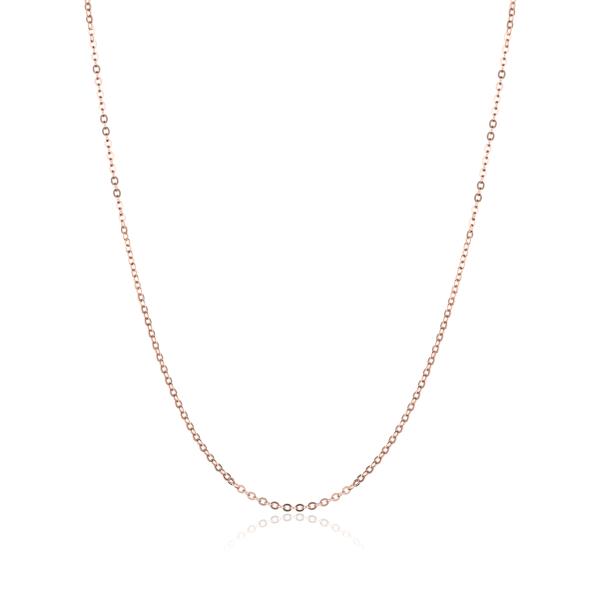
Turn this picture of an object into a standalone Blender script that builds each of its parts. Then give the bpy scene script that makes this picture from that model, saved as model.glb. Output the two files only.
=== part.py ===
"""Fine flat-cable chain necklace with a lobster clasp, in the shape it takes round a neck.

Metres. +Z is up and +Y is towards the wearer's back. The front hangs as a free catenary in a vertical plane,
and the rest goes over the shoulders and round the nape, where the clasp is. The origin is inside the neck,
level with the two places where the chain leaves the shoulders. The two sides mirror each other in X.
"""

import bisect
import math

import bmesh
import bpy
from mathutils import Matrix, Vector

MM = 0.001

# Chain. Links are numbered from 0 at the front centre up each side.
CHAIN_LENGTH = 450 * MM
LINKS_EACH_SIDE = 146
CLASP_REACH = 13.5 * MM
PITCH = (CHAIN_LENGTH - CLASP_REACH) / (2 * LINKS_EACH_SIDE + 1)
WIRE = 0.485 * MM
LINK_WIDTH = 1.84 * MM

# Runs: the centre one reaches CENTRE_REACH links to each side, the others hold RUN_LINKS links.
CENTRE_REACH = 2
RUN_LINKS = 6
RUNS_EACH_SIDE = (LINKS_EACH_SIDE - CENTRE_REACH) // RUN_LINKS
PIVOT_BOW = WIRE - 0.10 * MM
FUSED_BOW = WIRE + 0.06 * MM

# Route of one side: a hanging catenary, a curve over the shoulder, and a straight end at the clasp.
CATENARY = 18.745 * MM
FRONT_ARC = 143 * MM
FRONT_PLANE = -22 * MM
SHOULDER_TOP = (0.3 * MM, 12 * MM, 12 * MM)
SHOULDER_HEADING = (-0.22, 0.90, 0.30)
SHOULDER_HANDLE = 7 * MM
NAPE_RISE = 22 * MM
NAPE_HANDLE = 19 * MM
CURVE_STEPS = 300

# Roll of the links about the chain's own direction, as (link number, degrees), eased between.
ROLL = ((0, 0), (9, 6), (12, 57), (32, 57), (53, 44), (58, 8), (84, 0), (88, 34), (96, 40))

# Clasp: its hook holds the end ring, its eye holds the jump ring, and it lies along X.
CLASP_THICKNESS = 1.6 * MM
HOOK_CENTRE = -0.95 * MM
HOOK_OUTER = (4.00 * MM, 2.20 * MM)
HOOK_INNER = (3.12 * MM, 1.12 * MM)
HOOK_TIP_DEG = 122
HOOK_ROOT_DEG = 62
EYE_CENTRE = 4.05 * MM
EYE_THICKNESS = 0.7 * MM
EYE_OUTER = 1.18 * MM
EYE_HOLE = 0.65 * MM
LEVER_THICKNESS = 0.6 * MM
LEVER_SLOT = 1.1 * MM
LEVER_DEPTH = 0.62 * MM
LEVER_BOSS = 0.60 * MM
LEVER_CLEARANCE = 0.04 * MM
PIN_DEG = 50
PIN_RADIUS = 0.26 * MM
PIN_HOLE = 0.32 * MM
SPRING_RADIUS = 0.55 * MM
SPRING_LENGTH = 0.34 * MM
ARC_STEP_DEG = 12

# Rings, as (radius of the wire's centreline, wire diameter)
END_RING = (1.80 * MM, 0.60 * MM)
JUMP_RING = (1.33 * MM, 0.55 * MM)
RING_SEGMENTS = 16

ROSE_GOLD = (0.86, 0.52, 0.40)


def clear_scene():
    for item in list(bpy.data.objects):
        bpy.data.objects.remove(item, do_unlink=True)


def material(name, colour=ROSE_GOLD, roughness=0.14):
    finish = bpy.data.materials.new(name)
    finish.use_nodes = True
    shader = finish.node_tree.nodes["Principled BSDF"]
    shader.inputs["Base Color"].default_value = (*colour, 1)
    shader.inputs["Metallic"].default_value = 1
    shader.inputs["Roughness"].default_value = roughness
    return finish


def add_object(name, mesh, finish=None, pivot=None):
    """A new object. One that moves has its origin on its pivot."""
    piece = bpy.data.objects.new(name, mesh)
    bpy.context.collection.objects.link(piece)
    if pivot:
        mesh.transform(Matrix.Translation(-pivot))
        piece.location = pivot
    if finish:
        mesh.materials.append(finish)
    return piece


def as_guide(piece):
    piece.hide_render = True
    piece.display_type = "WIRE"
    return piece


def combine(piece, other, operation):
    change = piece.modifiers.new(operation.title(), "BOOLEAN")
    change.operation = operation
    change.solver = "EXACT"
    change.object = as_guide(other)


# --- The chain's route -------------------------------------------------------------------------------------


def front_height(arc):
    """How high the hanging part is above its lowest point, at an arc length from there."""
    return math.hypot(CATENARY, arc) - CATENARY


FRONT_TOP = front_height(FRONT_ARC)


def front_point(arc):
    return Vector((CATENARY * math.asinh(arc / CATENARY), FRONT_PLANE, front_height(arc) - FRONT_TOP))


def bezier(start, leave, arrive, end):
    """Points of a cubic curve, from vectors for its ends and for how it leaves one and reaches the other."""
    points = []
    for step in range(CURVE_STEPS + 1):
        t = step / CURVE_STEPS
        weights = ((1 - t) ** 3, 3 * t * (1 - t) ** 2, 3 * t * t * (1 - t), t**3)
        corners = (start, start + leave, end - arrive, end)
        points.append(sum((w * c for w, c in zip(weights, corners)), Vector()))
    return points


def shoulder_curve(nape):
    """Points from where the front ends, over the shoulder and round to the clasp's end, nape behind the axis."""
    start = front_point(FRONT_ARC)
    up = Vector((CATENARY, 0, FRONT_ARC)).normalized()
    top = start + Vector(SHOULDER_TOP)
    heading = Vector(SHOULDER_HEADING).normalized()
    end = Vector((CLASP_REACH / 2, nape, NAPE_RISE))
    over = bezier(start, up * SHOULDER_HANDLE, heading * SHOULDER_HANDLE, top)
    return over + bezier(top, heading * NAPE_HANDLE, Vector((-NAPE_HANDLE, 0, 0)), end)[1:]


def lengths_along(points):
    lengths = [0.0]
    for a, b in zip(points, points[1:]):
        lengths.append(lengths[-1] + (b - a).length)
    return lengths


def fitted_shoulder():
    """The shoulder curve whose length is exactly what the chain has left, and the arc length at each point."""
    wanted = (CHAIN_LENGTH - CLASP_REACH) / 2 - FRONT_ARC
    near, far = 0, 60 * MM
    for _ in range(50):
        nape = (near + far) / 2
        if lengths_along(shoulder_curve(nape))[-1] < wanted:
            near = nape
        else:
            far = nape
    points = shoulder_curve(nape)
    return points, [FRONT_ARC + length for length in lengths_along(points)]


SHOULDER, SHOULDER_ARCS = fitted_shoulder()


def route_point(arc):
    """A point on the right-hand side's centreline, by arc length from the front centre."""
    if arc <= FRONT_ARC:
        return front_point(arc)
    if arc >= SHOULDER_ARCS[-1]:
        return SHOULDER[-1] - Vector((arc - SHOULDER_ARCS[-1], 0, 0))
    after = bisect.bisect_right(SHOULDER_ARCS, arc)
    low, high = SHOULDER_ARCS[after - 1], SHOULDER_ARCS[after]
    return SHOULDER[after - 1].lerp(SHOULDER[after], (arc - low) / (high - low))


def route_direction(arc):
    return (route_point(arc + PITCH / 2) - route_point(arc - PITCH / 2)).normalized()


def eased(number, marks):
    """The value at a link number, from marks of (number, value), with an S-shaped change between marks."""
    for (start, first), (end, last) in zip(marks, marks[1:]):
        if number <= end:
            t = (number - start) / (end - start)
            return first + (last - first) * t * t * (3 - 2 * t)
    return marks[-1][1]


def link_frames():
    """Each right-hand link's centre, direction and width direction, from link 0 at the front centre up."""
    frames = []
    side = Vector((0, 1, 0))
    direction = route_direction(0)
    for number in range(LINKS_EACH_SIDE + 1):
        ahead = route_direction(number * PITCH)
        side = direction.rotation_difference(ahead) @ side
        direction = ahead
        frames.append((route_point(number * PITCH), direction, side.copy()))
    _, direction, side = frames[-1]
    last_roll = math.degrees(math.atan2(side.z, side.cross(direction).z)) - 90
    last_roll += 180 * round((ROLL[-1][1] - last_roll) / 180)
    marks = (*ROLL, (LINKS_EACH_SIDE, last_roll))
    rolled = []
    for number, (centre, direction, side) in enumerate(frames):
        turn = math.radians(eased(number, marks) + (90 if number % 2 == 0 else 0))
        across = math.cos(turn) * side.cross(direction) + math.sin(turn) * side
        rolled.append((centre, direction, across))
    return rolled


FRAMES = link_frames()


def frame_of(number):
    """Centre, direction and width direction of a link. Negative numbers are the left-hand side."""
    centre, direction, across = FRAMES[abs(number)]
    if number >= 0:
        return centre, direction, across
    mirror = Matrix.Diagonal((-1, 1, 1))
    return mirror @ centre, -(mirror @ direction), mirror @ across


# --- Chain runs --------------------------------------------------------------------------------------------


def add_link(bm, number, first_bow, last_bow):
    """One link as a rectangular ring of square wire. A bow is the wire across an end, of its own thickness."""
    centre, direction, across = frame_of(number)
    through = direction.cross(across)
    bow_at = PITCH / 2 + WIRE / 2
    outer = (-bow_at - first_bow / 2, bow_at + last_bow / 2)
    inner = (-bow_at + first_bow / 2, bow_at - last_bow / 2)
    half = LINK_WIDTH / 2
    loops = []
    for ends, reach in ((outer, half), (inner, half - WIRE)):
        corners = ((ends[0], -reach), (ends[1], -reach), (ends[1], reach), (ends[0], reach))
        for level in (-WIRE / 2, WIRE / 2):
            places = (centre + direction * u + across * v + through * level for u, v in corners)
            loops.append([bm.verts.new(place) for place in places])
    outer_low, outer_high, inner_low, inner_high = loops
    for i in range(4):
        j = (i + 1) % 4
        bm.faces.new((outer_low[i], outer_low[j], outer_high[j], outer_high[i]))
        bm.faces.new((inner_low[j], inner_low[i], inner_high[i], inner_high[j]))
        bm.faces.new((outer_high[i], outer_high[j], inner_high[j], inner_high[i]))
        bm.faces.new((outer_low[j], outer_low[i], inner_low[i], inner_low[j]))


def links_mesh(name, numbers, first, last):
    """The links in numbers as one mesh. The run's first and last links have a thinner bow at the run's ends."""
    bm = bmesh.new()
    for number in numbers:
        add_link(
            bm,
            number,
            PIVOT_BOW if number == first else FUSED_BOW,
            PIVOT_BOW if number == last else FUSED_BOW,
        )
    mesh = bpy.data.meshes.new(name)
    bm.to_mesh(mesh)
    bm.free()
    return mesh


def add_run(name, first, last):
    """A run of links, first to last from left to right, joined where each bears on the next.

    It turns about its end that is nearer the clasp. The centre run turns about its left end.
    """
    upper = last if first > 0 else first
    pivot = route_point((abs(upper) + 0.5) * PITCH)
    pivot.x = math.copysign(pivot.x, upper)
    run = add_object(name, links_mesh(name, range(first, last + 1, 2), first, last), material(name), pivot)
    others = links_mesh(name + "_others", range(first + 1, last + 1, 2), first, last)
    combine(run, add_object(name + "_others", others), "UNION")


def add_chain():
    add_run("chain_centre", -CENTRE_REACH, CENTRE_REACH)
    for run in range(1, RUNS_EACH_SIDE + 1):
        last = CENTRE_REACH + run * RUN_LINKS
        first = last - RUN_LINKS + 1
        add_run(f"chain_left_{run:02}", -last, -first)
        add_run(f"chain_right_{run:02}", first, last)


# --- Clasp -------------------------------------------------------------------------------------------------


NAPE = SHOULDER[-1] - Vector((CLASP_REACH / 2, 0, 0))


def on_hook(degrees, share):
    """A point in the hook's oval, 0 on its inner edge and 1 on its outer edge, as X and Z."""
    angle = math.radians(degrees)
    reach = [inner + (outer - inner) * share for inner, outer in zip(HOOK_INNER, HOOK_OUTER)]
    return HOOK_CENTRE + reach[0] * math.cos(angle), reach[1] * math.sin(angle)


def arc_angles(start, end):
    count = math.ceil(abs(end - start) / ARC_STEP_DEG)
    return [start + (end - start) * i / count for i in range(count + 1)]


def hinge():
    """The lever's axis, where the pin is."""
    x, z = on_hook(PIN_DEG, 0.5)
    return NAPE + Vector((x, 0, z))


def plate(name, outline, thickness, middle=0):
    """A closed outline of X and Z, anticlockwise, given a thickness along Y, standing at the nape."""
    bm = bmesh.new()
    front = [bm.verts.new(NAPE + Vector((x, middle - thickness / 2, z))) for x, z in outline]
    face = bm.faces.new(front)
    made = bmesh.ops.extrude_face_region(bm, geom=[face])
    moved = [v for v in made["geom"] if isinstance(v, bmesh.types.BMVert)]
    bmesh.ops.translate(bm, verts=moved, vec=(0, thickness, 0))
    bmesh.ops.recalc_face_normals(bm, faces=bm.faces)
    mesh = bpy.data.meshes.new(name)
    bm.to_mesh(mesh)
    bm.free()
    return mesh


def disc_outline(x, z, radius, sides=14):
    turns = [2 * math.pi * i / sides for i in range(sides)]
    return [(x + radius * math.cos(turn), z + radius * math.sin(turn)) for turn in turns]


def disc(name, x, z, radius, thickness, middle=0):
    return add_object(name, plate(name, disc_outline(x, z, radius), thickness, middle))


def add_clasp_body():
    angles = arc_angles(HOOK_TIP_DEG, 360 + HOOK_ROOT_DEG)
    outline = [on_hook(a, 1) for a in angles] + [on_hook(a, 0) for a in reversed(angles)]
    body = add_object("clasp_body", plate("clasp_body", outline, CLASP_THICKNESS), material("clasp_body"))
    combine(body, disc("eye_boss", EYE_CENTRE, 0, EYE_OUTER, EYE_THICKNESS), "UNION")
    combine(body, disc("eye_hole", EYE_CENTRE, 0, EYE_HOLE, CLASP_THICKNESS * 2), "DIFFERENCE")
    slot = [on_hook(a, 1.4) for a in arc_angles(24, 80)] + [on_hook(a, -0.4) for a in arc_angles(80, 24)]
    combine(body, add_object("lever_slot", plate("lever_slot", slot, LEVER_SLOT)), "DIFFERENCE")
    combine(body, disc("pin_hole", *on_hook(PIN_DEG, 0.5), PIN_HOLE, CLASP_THICKNESS * 2), "DIFFERENCE")


def add_clasp_lever():
    """The curved gate that closes the hook, with a thumb tab outside it and a hole for the pin."""
    middle = LEVER_CLEARANCE + LEVER_THICKNESS / 2 - LEVER_SLOT / 2
    angles = arc_angles(PIN_DEG - 14, HOOK_TIP_DEG - 6)
    thin = LEVER_DEPTH / (HOOK_OUTER[1] - HOOK_INNER[1]) / 2
    outline = [on_hook(a, 0.5 + thin) for a in angles] + [on_hook(a, 0.5 - thin) for a in reversed(angles)]
    outline.reverse()
    mesh = plate("clasp_lever", outline, LEVER_THICKNESS, middle)
    lever = add_object("clasp_lever", mesh, material("clasp_lever"), hinge())
    tab = disc("thumb_tab", *on_hook(84, 1.15), 0.55 * MM, LEVER_THICKNESS, middle)
    combine(lever, tab, "UNION")
    boss = disc("lever_boss", *on_hook(PIN_DEG, 0.5), LEVER_BOSS, LEVER_THICKNESS, middle)
    combine(lever, boss, "UNION")
    hole = disc("lever_hole", *on_hook(PIN_DEG, 0.5), PIN_HOLE, CLASP_THICKNESS, middle)
    combine(lever, hole, "DIFFERENCE")


def add_clasp_pin():
    pin = disc("clasp_pin", *on_hook(PIN_DEG, 0.5), PIN_RADIUS, CLASP_THICKNESS)
    pin.data.materials.append(material("clasp_pin"))


def add_clasp_spring():
    """The torsion spring's envelope: a short sleeve round the pin, beside the lever in its slot."""
    middle = LEVER_SLOT / 2 - LEVER_CLEARANCE - SPRING_LENGTH / 2
    place = on_hook(PIN_DEG, 0.5)
    sleeve = disc("clasp_spring", *place, SPRING_RADIUS, SPRING_LENGTH, middle)
    sleeve.data.materials.append(material("clasp_spring", (0.75, 0.73, 0.70), 0.25))
    combine(sleeve, disc("spring_hole", *place, PIN_HOLE, CLASP_THICKNESS, middle), "DIFFERENCE")


def add_ring(name, x, size):
    """A round wire ring lying flat, with its centre on the clasp's line and its origin on the nape."""
    radius, wire = size
    curve = bpy.data.curves.new(name, "CURVE")
    curve.dimensions = "3D"
    curve.bevel_depth = wire / 2
    curve.bevel_resolution = 1
    spline = curve.splines.new("POLY")
    spline.points.add(RING_SEGMENTS - 1)
    for i, point in enumerate(spline.points):
        turn = 2 * math.pi * i / RING_SEGMENTS
        point.co = (x + radius * math.cos(turn), radius * math.sin(turn), 0, 1)
    spline.use_cyclic_u = True
    curve.materials.append(material(name))
    ring = bpy.data.objects.new(name, curve)
    ring.location = NAPE
    bpy.context.collection.objects.link(ring)


def add_rings():
    for name, side, (radius, wire) in (("end_ring", -1, END_RING), ("jump_ring", 1, JUMP_RING)):
        add_ring(name, side * (CLASP_REACH / 2 - radius + wire / 2), (radius, wire))


def main():
    clear_scene()
    add_chain()
    add_clasp_body()
    add_clasp_lever()
    add_clasp_pin()
    add_clasp_spring()
    add_rings()


main()
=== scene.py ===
"""Looks for the fine flat cable chain necklace: polished rose-gold links, lobster clasp, glossy white floor.

Metres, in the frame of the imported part: +Z up, +Y towards the wearer's back, the front faces -Y.
"""

import bisect
import math
import random

import bmesh
import bpy
from mathutils import Matrix, Vector


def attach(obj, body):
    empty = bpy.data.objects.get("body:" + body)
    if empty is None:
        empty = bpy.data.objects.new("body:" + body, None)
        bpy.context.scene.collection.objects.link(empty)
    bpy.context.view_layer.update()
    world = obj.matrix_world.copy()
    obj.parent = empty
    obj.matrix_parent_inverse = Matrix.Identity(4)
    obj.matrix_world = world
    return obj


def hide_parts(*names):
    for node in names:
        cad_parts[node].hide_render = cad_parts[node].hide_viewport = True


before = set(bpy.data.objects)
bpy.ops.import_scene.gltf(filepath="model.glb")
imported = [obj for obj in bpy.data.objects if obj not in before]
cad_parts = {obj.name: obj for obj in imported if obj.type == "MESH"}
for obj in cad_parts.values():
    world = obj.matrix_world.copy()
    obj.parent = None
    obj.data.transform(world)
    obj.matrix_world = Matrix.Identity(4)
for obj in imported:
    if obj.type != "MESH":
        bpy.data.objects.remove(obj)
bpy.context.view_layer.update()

MM = 0.001

# The chain, as in the part: links are numbered from 0 at the front centre up each side.
CHAIN_LENGTH = 450 * MM
LINKS_EACH_SIDE = 146
CLASP_REACH = 13.5 * MM
PITCH = (CHAIN_LENGTH - CLASP_REACH) / (2 * LINKS_EACH_SIDE + 1)
CENTRE_REACH = 2
RUN_LINKS = 6
RUNS_EACH_SIDE = (LINKS_EACH_SIDE - CENTRE_REACH) // RUN_LINKS

# The route of one side, as in the part
CATENARY = 18.745 * MM
FRONT_ARC = 143 * MM
FRONT_PLANE = -22 * MM
SHOULDER_TOP = (0.3 * MM, 12 * MM, 12 * MM)
SHOULDER_HEADING = (-0.22, 0.90, 0.30)
SHOULDER_HANDLE = 7 * MM
NAPE_RISE = 22 * MM
NAPE_HANDLE = 19 * MM
CURVE_STEPS = 300
# How far the chain is rolled about its length, as (link, degrees) marks that it eases between
ROLL = ((0, 0), (9, 6), (12, 57), (32, 57), (53, 44), (58, 8), (84, 0), (88, 34), (96, 40))

# The pressed wire's section, narrower at the link's ends than at its sides, and the link's oval. PLAY is
# the gap between two links on the chain's middle line. The wire's corners beside it overlap a little.
WIRE_AT_END = 0.42 * MM
PLAY = 0.03 * MM
WIRE_AT_SIDE = 0.56 * MM
WIRE_THICK = 0.53 * MM
EDGE_WIDE = 0.08 * MM
EDGE_STEPS = 6
FLAT_HOLD = 0.02 * MM
LINK_WIDTH = 2.0 * MM
OVAL_POWER = 2.15
RING_STEPS = 36
# In the stretch that faces the front, the links that hang nearly square to it, and how far both kinds are
# turned off square. Elsewhere, past STILL_TO, each link leans a little its own way. Turns are in degrees.
SQUARE_ON = (61, 63, 71, 73, 81)
SQUARE_ON_TURN = 2.8
FACE_ON = (57, 87)
FACE_ON_TURN = 13
LEAN_SPREAD = 1.6
NOD_SHARE = 0.6
STILL_TO = 9

# Clasp, as in the part: its hook holds the end ring, its eye holds the jump ring, and it lies along X
CLASP_THICKNESS = 1.6 * MM
HOOK_CENTRE = -0.95 * MM
HOOK_OUTER = (4.00 * MM, 2.20 * MM)
HOOK_INNER = (3.12 * MM, 1.12 * MM)
HOOK_TIP_DEG = 122
HOOK_ROOT_DEG = 62
EYE_CENTRE = 4.05 * MM
EYE_THICKNESS = 0.7 * MM
EYE_OUTER = 1.18 * MM
EYE_HOLE = 0.65 * MM
LEVER_THICKNESS = 0.6 * MM
LEVER_SLOT = 1.1 * MM
LEVER_DEPTH = 0.62 * MM
LEVER_BOSS = 0.60 * MM
LEVER_CLEARANCE = 0.04 * MM
PIN_DEG = 50
PIN_RADIUS = 0.26 * MM
PIN_HOLE = 0.32 * MM
SPRING_RADIUS = 0.55 * MM
SPRING_LENGTH = 0.34 * MM
END_RING = (1.80 * MM, 0.60 * MM)
JUMP_RING = (1.33 * MM, 0.55 * MM)

# The clasp's finer shape
FORK_DEG = 24
SHELL_ROUND = 0.42 * MM
NOSE_DEG = 7
CHEEK_ROUND = 0.11 * MM
CHEEK_NOSE_DEG = 14
CHEEK_OVERLAP_DEG = 3
CHEEK_PAST_ROOT_DEG = 4
EYE_ROUND = 0.24 * MM
COLLAR = ((2.5 * MM, 0.42 * MM), (2.95 * MM, 0.42 * MM), (3.1 * MM, 0.34 * MM), (3.3 * MM, 0.3 * MM))
LEVER_PAST_PIN_DEG = 8
LEVER_SHORT_DEG = 1.5
LEVER_NOSE_DEG = 4
LEVER_ROUND = 0.13 * MM
BOSS_ROUND = 0.1 * MM
TAB_DEG = 84
TAB_SHARE = 1.15
TAB_RADIUS = 0.55 * MM
TAB_RIBS = 5
TAB_RIB_DEG = 24
RIB_RADIUS = 0.06 * MM
RIB_LENGTH = 0.8 * LEVER_THICKNESS
RIVET_HEAD = 0.4 * MM
RIVET_DOME = 0.09 * MM
SPRING_WIRE = 0.055 * MM
SPRING_TURNS = 2.4
SPRING_LEG = 0.5 * MM
SPRING_LEG_STEPS = 3
SPRING_TURN_STEPS = 24
SEAM_DEG = -60
SEAM_GAP_DEG = 1.6
HOOK_STEP_DEG = 4
END_STEPS = 7
END_TIP = 0.004
CORNER_STEPS = 5
CORNER_LIMIT = 0.95
TURN_STEPS = 40
WIRE_SIDES = 20
LOOP_STEPS = 96
SHARP_DEG = 40

# The metal's finish: how many times a metre its tone, sheen and marks change, and the marks' turn and depth
TONE_SCALE = 700.0
SHEEN_SCALE = 2600.0
MARK_SCALE = (9000, 1200, 1500)
MARK_TURN = (0.4, 0.7, 0.3)
MARK_DEPTH = 0.002 * MM

# The picture: width at the front plane, camera distance, and the camera's height above and shift from the
# lowest link's centre, all tilted a little
VIEW_WIDTH = 142.2 * MM
CAMERA_DISTANCE = 1.2
CAMERA_RISE = 49.28 * MM
CAMERA_SHIFT = 1.53 * MM
TILT_DEG = 0.73
SENSOR_WIDTH = 36
CLIP_END = 20

# The floor: how far below the lowest link's centre, half its size, how much it mirrors there, and how far
# off that ends
FLOOR_DROP = 1.09 * MM
FLOOR_REACH = 3.0
FLOOR_MIRROR = 0.48
MIRROR_END = 0.34
FLOOR_GLOW = 1.15
FLOOR_ROUGHNESS = 0.03

# The studio round the metal: its brightness as (degrees away from the camera, level). NEAR and FAR are the
# same all round. Between them SIDES holds level with the camera and ENDS above and below it. They blend
# between the two heights of STEEP on a unit sphere.
NEAR = ((0, 0.01), (3, 0.02), (5.5, 0.12), (8.5, 0.28), (12, 0.5), (18, 0.72), (23, 1.0))
SIDES = ((50, 1.0), (55, 0.24), (78, 0.24), (84, 1.0))
ENDS = ((25, 1.0), (34, 0.03), (98, 0.03), (108, 1.0))
FAR = ((140, 1.0), (150, 0.35), (162, 0.35), (167, 0.75), (180, 0.75))
STEEP = (0.47, 0.72)
ZONE_WARMTH = 0.35
STUDIO_STRENGTH = 1.35
BACKDROP_STRENGTH = 1.2

random.seed(7)


# --- The chain's route, as in the part ---------------------------------------------------------------------


def front_height(arc):
    return math.hypot(CATENARY, arc) - CATENARY


FRONT_TOP = front_height(FRONT_ARC)


def front_point(arc):
    return Vector((CATENARY * math.asinh(arc / CATENARY), FRONT_PLANE, front_height(arc) - FRONT_TOP))


def bezier(start, leave, arrive, end):
    points = []
    for step in range(CURVE_STEPS + 1):
        t = step / CURVE_STEPS
        weights = ((1 - t) ** 3, 3 * t * (1 - t) ** 2, 3 * t * t * (1 - t), t**3)
        corners = (start, start + leave, end - arrive, end)
        points.append(sum((w * c for w, c in zip(weights, corners)), Vector()))
    return points


def shoulder_curve(nape):
    start = front_point(FRONT_ARC)
    up = Vector((CATENARY, 0, FRONT_ARC)).normalized()
    top = start + Vector(SHOULDER_TOP)
    heading = Vector(SHOULDER_HEADING).normalized()
    end = Vector((CLASP_REACH / 2, nape, NAPE_RISE))
    over = bezier(start, up * SHOULDER_HANDLE, heading * SHOULDER_HANDLE, top)
    return over + bezier(top, heading * NAPE_HANDLE, Vector((-NAPE_HANDLE, 0, 0)), end)[1:]


def lengths_along(points):
    lengths = [0.0]
    for a, b in zip(points, points[1:]):
        lengths.append(lengths[-1] + (b - a).length)
    return lengths


def fitted_shoulder():
    wanted = (CHAIN_LENGTH - CLASP_REACH) / 2 - FRONT_ARC
    near, far = 0, 60 * MM
    for _ in range(50):
        nape = (near + far) / 2
        if lengths_along(shoulder_curve(nape))[-1] < wanted:
            near = nape
        else:
            far = nape
    points = shoulder_curve(nape)
    return points, [FRONT_ARC + length for length in lengths_along(points)]


SHOULDER, SHOULDER_ARCS = fitted_shoulder()
NAPE = SHOULDER[-1] - Vector((CLASP_REACH / 2, 0, 0))


def route_point(arc):
    if arc <= FRONT_ARC:
        return front_point(arc)
    if arc >= SHOULDER_ARCS[-1]:
        return SHOULDER[-1] - Vector((arc - SHOULDER_ARCS[-1], 0, 0))
    after = bisect.bisect_right(SHOULDER_ARCS, arc)
    low, high = SHOULDER_ARCS[after - 1], SHOULDER_ARCS[after]
    return SHOULDER[after - 1].lerp(SHOULDER[after], (arc - low) / (high - low))


def route_direction(arc):
    return (route_point(arc + PITCH / 2) - route_point(arc - PITCH / 2)).normalized()


def eased(number, marks):
    for (start, first), (end, last) in zip(marks, marks[1:]):
        if number <= end:
            t = (number - start) / (end - start)
            return first + (last - first) * t * t * (3 - 2 * t)
    return marks[-1][1]


def link_frames():
    """Each right-hand link's centre, direction and width direction, from link 0 at the front centre up."""
    frames = []
    side = Vector((0, 1, 0))
    direction = route_direction(0)
    for number in range(LINKS_EACH_SIDE + 1):
        ahead = route_direction(number * PITCH)
        side = direction.rotation_difference(ahead) @ side
        direction = ahead
        frames.append((route_point(number * PITCH), direction, side.copy()))
    _, direction, side = frames[-1]
    last_roll = math.degrees(math.atan2(side.z, side.cross(direction).z)) - 90
    last_roll += 180 * round((ROLL[-1][1] - last_roll) / 180)
    marks = (*ROLL, (LINKS_EACH_SIDE, last_roll))
    rolled = []
    for number, (centre, direction, side) in enumerate(frames):
        turn = math.radians(eased(number, marks) + (90 if number % 2 == 0 else 0))
        across = math.cos(turn) * side.cross(direction) + math.sin(turn) * side
        rolled.append((centre, direction, across))
    return rolled


FRAMES = link_frames()


# --- Materials ---------------------------------------------------------------------------------------------


def node(tree, kind, **inputs):
    made = tree.nodes.new(kind)
    for name, value in inputs.items():
        made.inputs[name.replace("_", " ")].default_value = value
    return made


def set_range(mapper, came, goes):
    """The values a Map Range node starts from and the values it turns them into."""
    for name, value in zip(("From Min", "From Max", "To Min", "To Max"), (*came, *goes)):
        mapper.inputs[name].default_value = value


def polished_metal(name, colour, deeper, roughness, scratch_depth):
    """Polished plated metal with faint changes of tone, an uneven sheen and fine polishing marks."""
    finish = bpy.data.materials.new(name)
    finish.use_nodes = True
    tree = finish.node_tree
    link = tree.links.new
    shader = tree.nodes["Principled BSDF"]
    shader.inputs["Metallic"].default_value = 1
    place = node(tree, "ShaderNodeTexCoord")

    tone = node(tree, "ShaderNodeTexNoise", Scale=TONE_SCALE, Detail=4.0, Roughness=0.6)
    link(place.outputs["Object"], tone.inputs["Vector"])
    ramp = node(tree, "ShaderNodeValToRGB")
    ramp.color_ramp.elements[0].position = 0.35
    ramp.color_ramp.elements[0].color = (*deeper, 1)
    ramp.color_ramp.elements[1].position = 0.68
    ramp.color_ramp.elements[1].color = (*colour, 1)
    link(tone.outputs["Fac"], ramp.inputs["Fac"])
    link(ramp.outputs["Color"], shader.inputs["Base Color"])

    sheen = node(tree, "ShaderNodeTexNoise", Scale=SHEEN_SCALE, Detail=3.0, Roughness=0.7)
    link(place.outputs["Object"], sheen.inputs["Vector"])
    spread = node(tree, "ShaderNodeMapRange")
    set_range(spread, (0.3, 0.7), (roughness * 0.6, roughness * 1.6))
    link(sheen.outputs["Fac"], spread.inputs["Value"])
    link(spread.outputs["Result"], shader.inputs["Roughness"])

    stretch = node(tree, "ShaderNodeMapping")
    stretch.inputs["Rotation"].default_value = MARK_TURN
    stretch.inputs["Scale"].default_value = MARK_SCALE
    link(place.outputs["Object"], stretch.inputs["Vector"])
    marks = node(tree, "ShaderNodeTexNoise", Scale=1.0, Detail=2.0, Roughness=0.5)
    link(stretch.outputs["Vector"], marks.inputs["Vector"])
    bump = node(tree, "ShaderNodeBump", Strength=scratch_depth, Distance=MARK_DEPTH)
    link(marks.outputs["Fac"], bump.inputs["Height"])
    link(bump.outputs["Normal"], shader.inputs["Normal"])
    return finish


ROSE = polished_metal("rose_gold_links", (0.91, 0.71, 0.62), (0.86, 0.63, 0.54), 0.08, 0.15)
ROSE_CLASP = polished_metal("rose_gold_clasp", (0.91, 0.71, 0.62), (0.86, 0.64, 0.55), 0.10, 0.25)
STEEL = polished_metal("spring_steel", (0.78, 0.76, 0.72), (0.62, 0.60, 0.57), 0.22, 0.4)


# --- Meshes ------------------------------------------------------------------------------------------------


def new_piece(name, bm, finish, smooth=True):
    mesh = bpy.data.meshes.new(name)
    bm.to_mesh(mesh)
    bm.free()
    mesh.materials.append(finish)
    if smooth:
        mesh.polygons.foreach_set("use_smooth", [True] * len(mesh.polygons))
    piece = bpy.data.objects.new(name, mesh)
    bpy.context.collection.objects.link(piece)
    return piece


def skin(bm, rings, closed=False):
    """Faces between rings of places, each with as many places, closed on itself or capped at both ends."""
    made = [[bm.verts.new(place) for place in ring] for ring in rings]
    for ring, ahead in zip(made, made[1:] + made[:1] if closed else made[1:]):
        for i in range(len(ring)):
            j = (i + 1) % len(ring)
            bm.faces.new((ring[i], ring[j], ahead[j], ahead[i]))
    if not closed:
        bm.faces.new(made[0])
        bm.faces.new(made[-1])


def pressed_section():
    """The wire's section as (radial, axial) shares, with flat sides and round edges.

    The radial share is 1 at the edge. FLAT_HOLD keeps the smooth shading of an edge off the flat beside it.
    """
    points = []
    half = WIRE_AT_SIDE / 2
    flat = half - EDGE_WIDE
    for side in (1, -1):
        for i in range(EDGE_STEPS + 1):
            turn = math.radians(-90 + 180 * i / EDGE_STEPS)
            points.append((side * (flat + EDGE_WIDE * math.cos(turn)) / half, side * math.sin(turn)))
        points.append((side * (flat - FLAT_HOLD) / half, side))
        points.append((-side * (flat - FLAT_HOLD) / half, side))
    return points


SECTION = pressed_section()


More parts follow.
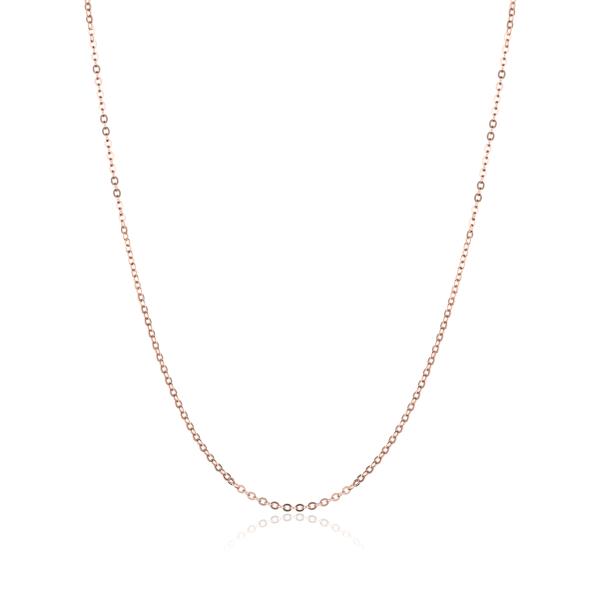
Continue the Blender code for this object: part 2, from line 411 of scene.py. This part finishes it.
def oval(turn):
    """A point on the link's centreline as (along, across), its outward normal, and the wire's half width."""
    long, wide = (PITCH + WIRE_AT_END + PLAY) / 2, (LINK_WIDTH - WIRE_AT_SIDE) / 2
    c, s = math.cos(turn), math.sin(turn)
    u = long * math.copysign(abs(c) ** (2 / OVAL_POWER), c)
    v = wide * math.copysign(abs(s) ** (2 / OVAL_POWER), s)
    outward = Vector((
        math.copysign(abs(u / long) ** (OVAL_POWER - 1), u) / long,
        math.copysign(abs(v / wide) ** (OVAL_POWER - 1), v) / wide,
    ))
    return u, v, outward.normalized(), (WIRE_AT_END + (WIRE_AT_SIDE - WIRE_AT_END) * s * s) / 2


def link_leans():
    """How far each link leans out of its frame, in degrees, about its length and about its width."""
    leans = []
    for number in range(LINKS_EACH_SIDE + 1):
        roll, nod = random.gauss(0, LEAN_SPREAD), random.gauss(0, LEAN_SPREAD * NOD_SHARE)
        if number <= STILL_TO:
            roll, nod = 0, 0
        elif number in SQUARE_ON:
            roll, nod = SQUARE_ON_TURN - eased(number, ROLL), 0
        elif FACE_ON[0] <= number <= FACE_ON[1] and number % 2:
            roll += FACE_ON_TURN - eased(number, ROLL)
        leans.append((roll, nod))
    return leans


LEANS = link_leans()


def add_link(bm, number):
    centre, direction, across = FRAMES[abs(number)]
    roll, nod = LEANS[abs(number)]
    turn = Matrix.Rotation(math.radians(nod), 3, across) @ Matrix.Rotation(math.radians(roll), 3, direction)
    along, wide = turn @ direction, turn @ across
    if number < 0:
        mirror = Matrix.Diagonal((-1, 1, 1))
        centre, along, wide = mirror @ centre, mirror @ along, mirror @ wide
    through = along.cross(wide)
    rings = []
    for step in range(RING_STEPS):
        u, v, outward, half = oval(2 * math.pi * step / RING_STEPS)
        middle = centre + along * u + wide * v
        radial = (along * outward.x + wide * outward.y) * half
        rings.append([middle + radial * r + through * (t * WIRE_THICK / 2) for r, t in SECTION])
    skin(bm, rings, closed=True)


def dress_run(body, first, last):
    bm = bmesh.new()
    for number in range(first, last + 1):
        add_link(bm, number)
    bmesh.ops.recalc_face_normals(bm, faces=bm.faces)
    piece = new_piece(body.replace("chain", "links"), bm, ROSE)
    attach(piece, body)
    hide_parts(body)


dress_run("chain_centre", -CENTRE_REACH, CENTRE_REACH)
for run in range(1, RUNS_EACH_SIDE + 1):
    run_last = CENTRE_REACH + run * RUN_LINKS
    run_first = run_last - RUN_LINKS + 1
    dress_run(f"chain_left_{run:02}", -run_last, -run_first)
    dress_run(f"chain_right_{run:02}", run_first, run_last)


# --- Clasp and rings ---------------------------------------------------------------------------------------


def on_hook(degrees, share):
    """A point in the hook's oval, 0 on its inner edge and 1 on its outer edge, as X and Z."""
    angle = math.radians(degrees)
    reach = [inner + (outer - inner) * share for inner, outer in zip(HOOK_INNER, HOOK_OUTER)]
    return HOOK_CENTRE + reach[0] * math.cos(angle), reach[1] * math.sin(angle)


def at_clasp(x, y, z):
    return NAPE + Vector((x, y, z))


def rounded_box(half_width, half_depth, radius):
    """A rectangle with round corners, as (across, along Y) points."""
    points = []
    for corner, (sx, sy) in enumerate(((1, 1), (-1, 1), (-1, -1), (1, -1))):
        for i in range(CORNER_STEPS + 1):
            turn = math.radians(90 * (corner + i / CORNER_STEPS))
            x = sx * (half_width - radius) + radius * math.cos(turn)
            points.append((x, sy * (half_depth - radius) + radius * math.sin(turn)))
    return points


def nose(travelled, length):
    """How far a round end has opened at a distance from its tip: 0 at the tip, 1 past the end's length."""
    t = min(1, max(0, travelled / length))
    return math.sqrt(1 - (1 - t) ** 2)


def hook_sweep(bm, start, end, inner, outer, middle, depth, radius, round_start=0, round_end=0):
    """A bar with rounded edges along the hook's oval, from start to end degrees.

    It lies between the shares inner and outer of the oval's width, and middle and depth place it along Y.
    round_start and round_end are the degrees over which each end closes.
    """
    steps = math.ceil((end - start) / HOOK_STEP_DEG)
    stops = {start + (end - start) * i / steps for i in range(steps + 1)}
    for i in range(END_STEPS):
        reach = (i / END_STEPS) ** 2 + END_TIP
        stops |= {start + round_start * reach} if round_start else set()
        stops |= {end - round_end * reach} if round_end else set()
    if round_start:
        stops.discard(start)
    if round_end:
        stops.discard(end)
    rings = []
    for angle in sorted(stops):
        near, far = Vector(on_hook(angle, inner)), Vector(on_hook(angle, outer))
        half = (far - near).length / 2
        across = (far - near).normalized()
        close = 1
        if round_start:
            close = min(close, nose(angle - start, round_start))
        if round_end:
            close = min(close, nose(end - angle, round_end))
        ring = []
        for a, y in rounded_box(half * close, depth / 2 * close, min(radius, half * CORNER_LIMIT) * close):
            place = (near + far) / 2 + across * a
            ring.append(at_clasp(place.x, middle + y, place.y))
        rings.append(ring)
    skin(bm, rings)


def turned(bm, x, z, profile, closed=False):
    """A shape turned about a line along Y through x, z at the clasp, from a profile of (radius, y)."""
    rings = []
    for i in range(TURN_STEPS):
        turn = 2 * math.pi * i / TURN_STEPS
        rings.append([at_clasp(x + r * math.cos(turn), y, z + r * math.sin(turn)) for r, y in profile])
    if closed:
        skin(bm, rings, closed=True)
        return
    made = [[bm.verts.new(place) for place in ring] for ring in rings]
    for ring, ahead in zip(made, made[1:] + made[:1]):
        for i in range(len(ring) - 1):
            bm.faces.new((ring[i], ring[i + 1], ahead[i + 1], ahead[i]))
    bm.faces.new([ring[0] for ring in made])
    bm.faces.new([ring[-1] for ring in made])


def turned_ring(bm, x, z, inner, outer, middle, depth, radius):
    section = rounded_box((outer - inner) / 2, depth / 2, radius)
    turned(bm, x, z, [((inner + outer) / 2 + r, middle + y) for r, y in section], closed=True)


def button(bm, x, z, radius, middle, depth, edge):
    """A turned disc with rounded rims."""
    profile = []
    for side in (-1, 1):
        quarter = []
        for i in range(CORNER_STEPS + 1):
            turn = math.radians(90 * i / CORNER_STEPS)
            y = depth / 2 - edge + edge * math.sin(turn)
            quarter.append((radius - edge + edge * math.cos(turn), middle + side * y))
        profile += reversed(quarter) if side < 0 else quarter
    turned(bm, x, z, profile)


def wire(bm, places, radius, closed=False):
    """A round wire along places, which are close together."""
    rings = []
    up = Vector((0, 0, 1))
    count = len(places)
    for i, place in enumerate(places):
        ahead = places[(i + 1) % count] if closed or i < count - 1 else place
        behind = places[i - 1] if closed or i else place
        direction = (ahead - behind).normalized()
        side = direction.cross(up if abs(direction.z) < 0.99 else Vector((1, 0, 0))).normalized()
        over = side.cross(direction)
        turns = [2 * math.pi * j / WIRE_SIDES for j in range(WIRE_SIDES)]
        rings.append([place + (side * math.cos(t) + over * math.sin(t)) * radius for t in turns])
    skin(bm, rings, closed)


def finish_piece(name, bm, finish, body, replaced):
    """A piece that rides on a body and takes the place of a CAD node."""
    bmesh.ops.recalc_face_normals(bm, faces=bm.faces)
    piece = new_piece(name, bm, finish)
    piece.data.set_sharp_from_angle(angle=math.radians(SHARP_DEG))
    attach(piece, body)
    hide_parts(replaced)


PIN_X, PIN_Z = on_hook(PIN_DEG, 0.5)


def add_clasp_shell():
    """The hook as a rounded bar, forked into two cheeks round the lever, and the eye on its collar."""
    bm = bmesh.new()
    fork = 360 + FORK_DEG
    hook_sweep(bm, HOOK_TIP_DEG, fork, 0, 1, 0, CLASP_THICKNESS, SHELL_ROUND, round_start=NOSE_DEG)
    cheek = (CLASP_THICKNESS - LEVER_SLOT) / 2
    start, end = FORK_DEG - CHEEK_OVERLAP_DEG, HOOK_ROOT_DEG + CHEEK_PAST_ROOT_DEG
    for side in (-1, 1):
        middle = side * (CLASP_THICKNESS - cheek) / 2
        hook_sweep(bm, start, end, 0, 1, middle, cheek, CHEEK_ROUND, round_end=CHEEK_NOSE_DEG)
    turned_ring(bm, EYE_CENTRE, 0, EYE_HOLE, EYE_OUTER, 0, EYE_THICKNESS, EYE_ROUND)
    rings = []
    for x, half in COLLAR:
        turns = [2 * math.pi * i / TURN_STEPS for i in range(TURN_STEPS)]
        rings.append([at_clasp(x, half * math.cos(t), half * math.sin(t)) for t in turns])
    skin(bm, rings)
    finish_piece("clasp_shell", bm, ROSE_CLASP, "clasp", "clasp_body")


def add_clasp_gate():
    """The lever: a curved bar from the pin's boss to the hook's tip, with a ribbed thumb tab outside it."""
    bm = bmesh.new()
    middle = LEVER_CLEARANCE + LEVER_THICKNESS / 2 - LEVER_SLOT / 2
    thin = LEVER_DEPTH / (HOOK_OUTER[1] - HOOK_INNER[1]) / 2
    inner, outer = 0.5 - thin, 0.5 + thin
    start, end = PIN_DEG + LEVER_PAST_PIN_DEG, HOOK_TIP_DEG - LEVER_SHORT_DEG
    hook_sweep(bm, start, end, inner, outer, middle, LEVER_THICKNESS, LEVER_ROUND, round_end=LEVER_NOSE_DEG)
    turned_ring(bm, PIN_X, PIN_Z, PIN_HOLE, LEVER_BOSS, middle, LEVER_THICKNESS, BOSS_ROUND)
    tab_x, tab_z = on_hook(TAB_DEG, TAB_SHARE)
    button(bm, tab_x, tab_z, TAB_RADIUS, middle, LEVER_THICKNESS, LEVER_ROUND)
    for i in range(TAB_RIBS):
        turn = math.radians(90 + TAB_RIB_DEG * (i - (TAB_RIBS - 1) / 2))
        x, z = tab_x + TAB_RADIUS * math.cos(turn), tab_z + TAB_RADIUS * math.sin(turn)
        button(bm, x, z, RIB_RADIUS, middle, RIB_LENGTH, RIB_RADIUS / 2)
    finish_piece("clasp_gate", bm, ROSE_CLASP, "clasp_lever", "clasp_lever")


def add_clasp_rivet():
    """The pin, with a low domed head on each cheek."""
    bm = bmesh.new()
    half = CLASP_THICKNESS / 2
    head = []
    for i in range(CORNER_STEPS + 1):
        turn = math.radians(90 * i / CORNER_STEPS)
        head.append((RIVET_HEAD * math.cos(turn), half + RIVET_DOME * math.sin(turn)))
    low = [(r, -y) for r, y in reversed(head)]
    turned(bm, PIN_X, PIN_Z, [*low, (PIN_RADIUS, -half), (PIN_RADIUS, half), *head])
    finish_piece("clasp_rivet", bm, ROSE_CLASP, "clasp", "clasp_pin")


def add_torsion_spring():
    """Close coils of fine wire round the pin, with a straight leg at each end."""
    bm = bmesh.new()
    low = LEVER_SLOT / 2 - LEVER_CLEARANCE - SPRING_LENGTH + SPRING_WIRE
    high = LEVER_SLOT / 2 - LEVER_CLEARANCE - SPRING_WIRE
    coil = SPRING_RADIUS - SPRING_WIRE
    count = math.ceil(SPRING_TURNS * SPRING_TURN_STEPS)
    places = []
    for i in range(count + 1):
        turn = 2 * math.pi * SPRING_TURNS * i / count
        y = low + (high - low) * i / count
        places.append(at_clasp(PIN_X + coil * math.cos(turn), y, PIN_Z + coil * math.sin(turn)))
    first, last = (places[0] - places[1]).normalized(), (places[-1] - places[-2]).normalized()
    reaches = [SPRING_LEG * (i + 1) / SPRING_LEG_STEPS for i in range(SPRING_LEG_STEPS)]
    start_leg = [places[0] + first * reach for reach in reversed(reaches)]
    end_leg = [places[-1] + last * reach for reach in reaches]
    wire(bm, [*start_leg, *places, *end_leg], SPRING_WIRE)
    finish_piece("torsion_spring", bm, STEEL, "clasp", "clasp_spring")


def add_wire_ring(name, node_name, side, size, gap_deg=0):
    """A round wire ring, closed, or with its two cut ends meeting at a fine seam."""
    bm = bmesh.new()
    radius, thickness = size
    x = side * (CLASP_REACH / 2 - radius + thickness / 2)
    places = []
    for i in range(LOOP_STEPS + (1 if gap_deg else 0)):
        turn = math.radians(SEAM_DEG + gap_deg / 2 + (360 - gap_deg) * i / LOOP_STEPS)
        places.append(at_clasp(x + radius * math.cos(turn), radius * math.sin(turn), 0))
    wire(bm, places, thickness / 2, closed=not gap_deg)
    finish_piece(name, bm, ROSE_CLASP, node_name, node_name)


add_clasp_shell()
add_clasp_gate()
add_clasp_rivet()
add_torsion_spring()
add_wire_ring("closed_end_ring", "end_ring", -1, END_RING)
add_wire_ring("cut_jump_ring", "jump_ring", 1, JUMP_RING, gap_deg=SEAM_GAP_DEG)


# --- Floor, world and camera -------------------------------------------------------------------------------

lowest = front_point(0)
tilt = Matrix.Rotation(math.radians(-TILT_DEG), 3, "Y")


def add_floor():
    """A white floor that mirrors the lowest links and less further off. Only the camera sees it."""
    bm = bmesh.new()
    bmesh.ops.create_grid(bm, x_segments=8, y_segments=8, size=FLOOR_REACH)
    finish = bpy.data.materials.new("glossy_white_floor")
    finish.use_nodes = True
    tree = finish.node_tree
    tree.nodes.remove(tree.nodes["Principled BSDF"])
    link = tree.links.new
    place = node(tree, "ShaderNodeTexCoord")
    reach = node(tree, "ShaderNodeVectorMath")
    reach.operation = "LENGTH"
    link(place.outputs["Object"], reach.inputs[0])
    fade = node(tree, "ShaderNodeMapRange")
    fade.interpolation_type = "SMOOTHSTEP"
    set_range(fade, (0, MIRROR_END), (FLOOR_MIRROR, 0))
    link(reach.outputs["Value"], fade.inputs["Value"])
    glow = node(tree, "ShaderNodeEmission", Color=(1, 1, 1, 1), Strength=FLOOR_GLOW)
    gloss = node(tree, "ShaderNodeBsdfGlossy", Color=(1, 1, 1, 1), Roughness=FLOOR_ROUGHNESS)
    both = node(tree, "ShaderNodeMixShader")
    link(fade.outputs["Result"], both.inputs[0])
    link(glow.outputs["Emission"], both.inputs[1])
    link(gloss.outputs["BSDF"], both.inputs[2])
    clear = node(tree, "ShaderNodeBsdfTransparent")
    path = node(tree, "ShaderNodeLightPath")
    seen = node(tree, "ShaderNodeMixShader")
    link(path.outputs["Is Camera Ray"], seen.inputs[0])
    link(clear.outputs["BSDF"], seen.inputs[1])
    link(both.outputs["Shader"], seen.inputs[2])
    link(seen.outputs["Shader"], tree.nodes["Material Output"].inputs["Surface"])
    floor = new_piece("floor", bm, finish, smooth=False)
    floor.location = lowest - Vector((0, 0, FLOOR_DROP))
    floor.rotation_euler = (0, math.radians(-TILT_DEG), 0)


def zone_ramp(tree, share, stops):
    """Brightness by the angle away from the camera, as (degrees, level). Dim zones are a little warm."""
    zones = node(tree, "ShaderNodeValToRGB")
    ramp = zones.color_ramp
    while len(ramp.elements) < len(stops):
        ramp.elements.new(0.5)
    for element, (degrees, level) in zip(ramp.elements, stops):
        element.position = degrees / 180
        warmth = ZONE_WARMTH * level * (1 - level)
        element.color = (level + warmth, level, level - warmth / 2, 1)
    tree.links.new(share, zones.inputs["Fac"])
    return zones.outputs["Color"]


def add_world():
    """White to the camera. The metal sees a studio: dark by the camera, a white tent, then dim zones."""
    world = bpy.data.worlds.new("studio")
    world.use_nodes = True
    bpy.context.scene.world = world
    tree = world.node_tree
    link = tree.links.new
    place = node(tree, "ShaderNodeTexCoord")
    towards = node(tree, "ShaderNodeVectorMath")
    towards.operation = "DOT_PRODUCT"
    towards.inputs[1].default_value = (0, -1, 0)
    link(place.outputs["Generated"], towards.inputs[0])
    angle = node(tree, "ShaderNodeMath")
    angle.operation = "ARCCOSINE"
    link(towards.outputs["Value"], angle.inputs[0])
    share = node(tree, "ShaderNodeMath")
    share.operation = "DIVIDE"
    share.inputs[1].default_value = math.pi
    link(angle.outputs["Value"], share.inputs[0])

    steep = node(tree, "ShaderNodeSeparateXYZ")
    link(place.outputs["Generated"], steep.inputs[0])
    height = node(tree, "ShaderNodeMath")
    height.operation = "ABSOLUTE"
    link(steep.outputs["Z"], height.inputs[0])
    above = node(tree, "ShaderNodeMapRange")
    above.interpolation_type = "SMOOTHSTEP"
    set_range(above, STEEP, (0, 1))
    link(height.outputs["Value"], above.inputs["Value"])
    blend = node(tree, "ShaderNodeMix")
    blend.data_type = "RGBA"
    link(above.outputs["Result"], blend.inputs["Factor"])
    link(zone_ramp(tree, share.outputs["Value"], (*NEAR, *SIDES, *FAR)), blend.inputs["A"])
    link(zone_ramp(tree, share.outputs["Value"], (*NEAR, *ENDS, *FAR)), blend.inputs["B"])

    studio = node(tree, "ShaderNodeBackground", Strength=STUDIO_STRENGTH)
    link(blend.outputs["Result"], studio.inputs["Color"])
    plain = node(tree, "ShaderNodeBackground", Color=(1, 1, 1, 1), Strength=BACKDROP_STRENGTH)
    path = node(tree, "ShaderNodeLightPath")
    mix = node(tree, "ShaderNodeMixShader")
    link(path.outputs["Is Camera Ray"], mix.inputs[0])
    link(studio.outputs["Background"], mix.inputs[1])
    link(plain.outputs["Background"], mix.inputs[2])
    output = next(n for n in tree.nodes if n.type == "OUTPUT_WORLD")
    link(mix.outputs["Shader"], output.inputs["Surface"])


def add_camera():
    data = bpy.data.cameras.new("camera")
    data.sensor_width = SENSOR_WIDTH
    data.lens = SENSOR_WIDTH * CAMERA_DISTANCE / VIEW_WIDTH
    data.clip_end = CLIP_END
    camera = bpy.data.objects.new("camera", data)
    offset = tilt @ Vector((CAMERA_SHIFT, 0, CAMERA_RISE))
    camera.location = lowest + offset + Vector((0, -CAMERA_DISTANCE, 0))
    camera.rotation_euler = (math.pi / 2, 0, 0)
    camera.rotation_euler.rotate(Matrix.Rotation(math.radians(-TILT_DEG), 3, "Y"))
    bpy.context.collection.objects.link(camera)
    bpy.context.scene.camera = camera


add_floor()
add_world()
add_camera()
bpy.context.scene.view_settings.view_transform = "Standard"
